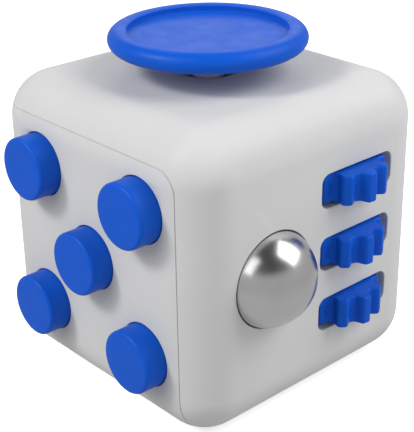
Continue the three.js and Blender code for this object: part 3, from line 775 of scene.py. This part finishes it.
def joystick_cap():
    """A disc with a thick oval rim, a narrow ledge inside it and a slightly hollow floor."""
    low, high = size_mm("joystick_cap")
    centre = (high.x - low.x) / 2 - RIM_HALF_WIDTH
    height = high.z - 2 * HALF - RIM_HALF_HEIGHT
    edge = SMALL_EDGE
    socket = STEM_RADIUS + edge
    profile = [
        (0, SOCKET_TOP), (socket, SOCKET_TOP), (socket, HUB_BOTTOM + edge), (socket + edge, HUB_BOTTOM),
        (HUB_RADIUS - edge, HUB_BOTTOM), (HUB_RADIUS, HUB_BOTTOM + edge),
        (HUB_RADIUS, DISC_UNDERSIDE - 2 * edge), (HUB_RADIUS + 2 * edge, DISC_UNDERSIDE),
        (UNDERSIDE_REACH, DISC_UNDERSIDE),
    ]
    inward = math.degrees(math.acos((DISC_RECESS - centre) / RIM_HALF_WIDTH))
    oval = arc(0, 0, 1, -86, inward, 36)
    profile += [(centre + RIM_HALF_WIDTH * x, height + RIM_HALF_HEIGHT * z) for x, z in oval]
    ledge = DISC_FLOOR + LEDGE_RISE
    profile += arc(DISC_RECESS - 0.1, ledge + 0.1, 0.1, 0, -90, 4)
    profile += arc(DISC_RECESS - 0.27, ledge - 0.06, 0.06, 90, 180, 3)
    floor = DISC_FLOOR - FLOOR_HOLLOW
    profile += [(r, floor + FLOOR_HOLLOW * (r / DISC_RECESS) ** 2) for r in (8.0, 7.0, 5.5, 4.0, 2.0, 0.0)]
    return lathe(profile, 160)


def joystick_stem():
    """A post in a domed skirt that turns about the same point, so the opening stays closed."""
    neck = math.degrees(math.acos(STEM_RADIUS / SKIRT_RADIUS))
    edge = 2 * SMALL_EDGE
    profile = [
        (0, STEM_END), (STEM_PEG - edge, STEM_END), (STEM_PEG, STEM_END + edge),
        (STEM_PEG, FOOT_BOTTOM - edge), (STEM_PEG + edge, FOOT_BOTTOM), (FOOT_RADIUS - edge, FOOT_BOTTOM),
        (FOOT_RADIUS, FOOT_BOTTOM + edge), (FOOT_RADIUS, FOOT_TOP),
    ]
    profile += arc(0, PIVOT, SKIRT_RADIUS, 90 - SKIRT_SPREAD, neck, 16)
    profile += [(STEM_RADIUS, STEM_TOP - 0.15), (STEM_RADIUS - 0.15, STEM_TOP), (0, STEM_TOP)]
    pins = bar_along_x(PIVOT_PIN, -PIVOT_PIN_REACH, PIVOT_PIN_REACH, 0, PIVOT)
    return boolean(lathe(profile, 72), [("UNION", pins)])


def build_glide_face():
    piece("disc", joystick_cap(), GLIDE, "joystick", ["joystick_cap"],
          MATERIALS["blue_plastic"])
    piece("stem", joystick_stem(), GLIDE, "joystick", ["joystick_stem"],
          MATERIALS["shell_plastic"])


# ------------------------------------------------------------------ flip face


def rocker_switch():
    """The outline is in the plane across the pivot, with the valley outward and the cam inward."""
    rise = math.tan(ROCKER_SLOPE)
    crown = ROCKER_CROWN - ROCKER_PIVOT
    half = [(0, crown), (ROCKER_HALF_LENGTH, crown + ROCKER_HALF_LENGTH * rise), (6.9, 1.5), (6.0, 0.6),
            (2.4, -1.1), (CAM_HALF_LENGTH, CAM_TIP + CAM_HALF_LENGTH * rise), (0, CAM_TIP)]
    outline = half + [(-y, z) for y, z in reversed(half[1:-1])]
    sides = (-ROCKER_HALF_WIDTH, ROCKER_HALF_WIDTH)
    bm = stack([[Vector((x, y, z)) for y, z in outline] for x in sides])
    edges = [e for e in bm.edges if e.is_manifold and e.calc_face_angle(0) > math.radians(25)]
    bmesh.ops.bevel(bm, geom=edges, offset=ROCKER_EDGE, segments=5, profile=0.5, affect="EDGES",
                    clamp_overlap=True)
    bm = cut(bm, bar_along_x(ROCKER_BORE, -6, 6, 0, 0))
    bm.transform(Matrix.Rotation(ROCKER_SLOPE, 4, "X"))
    return bm


def build_flip_face():
    piece("rocker_cap", rocker_switch(), FLIP, "rocker", ["rocker"],
          MATERIALS["blue_plastic"], place=(0, 0, ROCKER_PIVOT))


# ------------------------------------------------------------------ spin face


def spin_dial():
    """A round dial on a short shaft, with a finger dimple off its middle."""
    low, high = size_mm("dial")
    radius = (high.x - low.x) / 2
    proud = high.y - HALF
    profile = [(0, DIAL_BACK), (DIAL_SHAFT - 0.15, DIAL_BACK), (DIAL_SHAFT, DIAL_BACK + 0.15)]
    profile += [(DIAL_SHAFT, DIAL_GAP)]
    profile += arc(radius - 0.5, DIAL_GAP + 0.5, 0.5, -90, 0, 6)
    profile += arc(radius - 1.1, proud - 1.1, 1.1, 0, 90, 12)
    profile += [(5.0, proud), (0, proud)]
    body = lathe(profile, 128)
    centre = proud - DIMPLE_DEPTH + DIMPLE_RADIUS
    angles = [math.radians(6 * i) for i in range(11)]
    throat = [(DIMPLE_RADIUS * math.sin(t), centre - DIMPLE_RADIUS * math.cos(t)) for t in angles]
    r, z = throat[-1]
    dimple = lathe(throat + [(r + 0.12, z + 0.12), (r + 0.7, z + 0.5), (0, proud + 2.0)], 72)
    dimple.transform(Matrix.Translation((0, DIMPLE_OFFSET, 0)))
    return cut(body, dimple, bar(DIAL_SCREW_BORE, -3.0, 1.8, count=32))


def build_spin_face():
    piece("spinner", spin_dial(), SPIN, "dial", ["dial"], MATERIALS["blue_plastic"])


# ------------------------------------------------------------------ inner pieces


def finish_inner_pieces():
    """CAD nodes that stay take the finish of their slot."""
    slots = {row["node"]: row["material_slot"] for row in frame["record"]["subparts"]}
    for name, node in frame["nodes"].items():
        if node.hide_render:
            continue
        material = MATERIALS[slots[name]]
        if not node.material_slots:
            node.data.materials.append(material)
        for held in node.material_slots:
            held.material = material


# ------------------------------------------------------------------ camera, lights and floor

VIEW = {"azimuth": -42.106, "elevation": 24.841, "roll": -0.777, "distance": 0.129381}
FOCAL_PIXELS = 1159.385
IMAGE_HEIGHT = 432
SHIFT = (-0.00752, -0.01231)
SENSOR = 36.0


def add_camera():
    data = bpy.data.cameras.new("camera")
    data.sensor_width = SENSOR
    data.lens = FOCAL_PIXELS * SENSOR / IMAGE_HEIGHT
    data.shift_x, data.shift_y = SHIFT
    data.clip_start = 0.005
    data.clip_end = 10
    camera = bpy.data.objects.new("camera", data)
    bpy.context.scene.collection.objects.link(camera)
    azimuth, elevation = math.radians(VIEW["azimuth"]), math.radians(VIEW["elevation"])
    back = Vector((math.sin(azimuth) * math.cos(elevation), -math.cos(azimuth) * math.cos(elevation),
                   math.sin(elevation)))
    camera.location = CENTRE * MM + back * VIEW["distance"]
    turn = back.to_track_quat("Z", "Y").to_matrix().to_4x4()
    roll = Matrix.Rotation(math.radians(VIEW["roll"]), 4, "Z")
    camera.matrix_world = Matrix.Translation(camera.location) @ turn @ roll
    bpy.context.scene.camera = camera


# Softboxes: name, elevation and azimuth in degrees, distance and side in metres, power in watts,
# and whether polished pieces mirror it. Azimuth 0 is in front of the ball's face, -90 of the buttons'.
SOFTBOXES = (
    ("left key", 42, -115, 0.60, 0.14, 1.80, True),
    ("left fill", 42, -95, 0.45, 0.30, 0.48, True),
    ("right key", 46, 50, 0.45, 0.30, 1.20, True),
    ("front panel", 12, -10, 0.45, 0.30, 0.46, False),
    ("back panel", 35, 138, 0.45, 0.30, 0.38, True),
    ("right edge", 35, 30, 0.12, 0.06, 0.029, False),
    ("left edge", 35, -90, 0.12, 0.06, 0.022, False),
)
# The studio room: brightness at heights from straight below (0) to straight above (1).
ROOM = ((0.0, 0.56), (0.33, 0.56), (0.41, 0.50), (0.68, 0.50), (0.79, 0.06), (1.0, 0.06))
FLOOR_HALF = 3.0
FLOOR_GAP = 0.00002
FLOOR_GLOW = 0.45


def softbox(name, elevation, azimuth, distance, side, power, mirrored):
    data = bpy.data.lights.new(name, "AREA")
    data.shape = "SQUARE"
    data.size = side
    data.energy = power
    light = bpy.data.objects.new(name, data)
    bpy.context.scene.collection.objects.link(light)
    e, a = math.radians(elevation), math.radians(azimuth)
    direction = Vector((math.sin(a) * math.cos(e), -math.cos(a) * math.cos(e), math.sin(e)))
    light.location = CENTRE * MM + direction * distance
    light.rotation_euler = direction.to_track_quat("Z", "Y").to_euler()
    light.visible_camera = False
    light.visible_glossy = mirrored


def add_lights():
    """The softboxes and the room; the camera itself sees plain white behind the floor."""
    for settings in SOFTBOXES:
        softbox(*settings)
    world = bpy.data.worlds.new("studio")
    world.use_nodes = True
    tree = world.node_tree
    background = tree.nodes["Background"]
    background.inputs["Color"].default_value = (1, 1, 1, 1)
    place = tree.nodes.new("ShaderNodeTexCoord")
    height = tree.nodes.new("ShaderNodeSeparateXYZ")
    share = tree.nodes.new("ShaderNodeMapRange")
    share.inputs["From Min"].default_value = -1
    ramp = tree.nodes.new("ShaderNodeValToRGB")
    stops = ramp.color_ramp.elements
    for position, _ in ROOM[1:-1]:
        stops.new(position)
    for stop, (position, level) in zip(stops, ROOM):
        stop.position = position
        stop.color = (level, level, level, 1)
    tree.links.new(place.outputs["Generated"], height.inputs[0])
    tree.links.new(height.outputs["Z"], share.inputs["Value"])
    tree.links.new(share.outputs["Result"], ramp.inputs["Fac"])
    backdrop = tree.nodes.new("ShaderNodeMath")
    backdrop.operation = "MAXIMUM"
    tree.links.new(ramp.outputs["Color"], backdrop.inputs[0])
    tree.links.new(tree.nodes.new("ShaderNodeLightPath").outputs["Is Camera Ray"], backdrop.inputs[1])
    tree.links.new(backdrop.outputs["Value"], background.inputs["Strength"])
    bpy.context.scene.world = world


def add_floor():
    """White paper that glows a little, so that it is as bright as the photo's."""
    bm = bmesh.new()
    bmesh.ops.create_grid(bm, x_segments=1, y_segments=1, size=FLOOR_HALF)
    mesh = bpy.data.meshes.new("floor")
    bm.to_mesh(mesh)
    bm.free()
    floor = bpy.data.objects.new("floor", mesh)
    bpy.context.scene.collection.objects.link(floor)
    floor.location = (0, 0, -FLOOR_GAP)
    s = Shader("floor paper", Roughness=0.9, Specular_IOR_Level=0.2, Emission_Color=(1, 1, 1, 1),
               Emission_Strength=FLOOR_GLOW)
    s.colour(s.mix(s.noise(0.02), (0.93, 0.93, 0.93), (0.96, 0.96, 0.96)))
    mesh.materials.append(s.material)
    floor.visible_diffuse = False
    floor.visible_glossy = False


build_housing()
build_buttons()
build_roll_face()
build_glide_face()
build_flip_face()
build_spin_face()
finish_inner_pieces()
add_camera()
add_lights()
add_floor()
bpy.context.scene.view_settings.view_transform = "Standard"
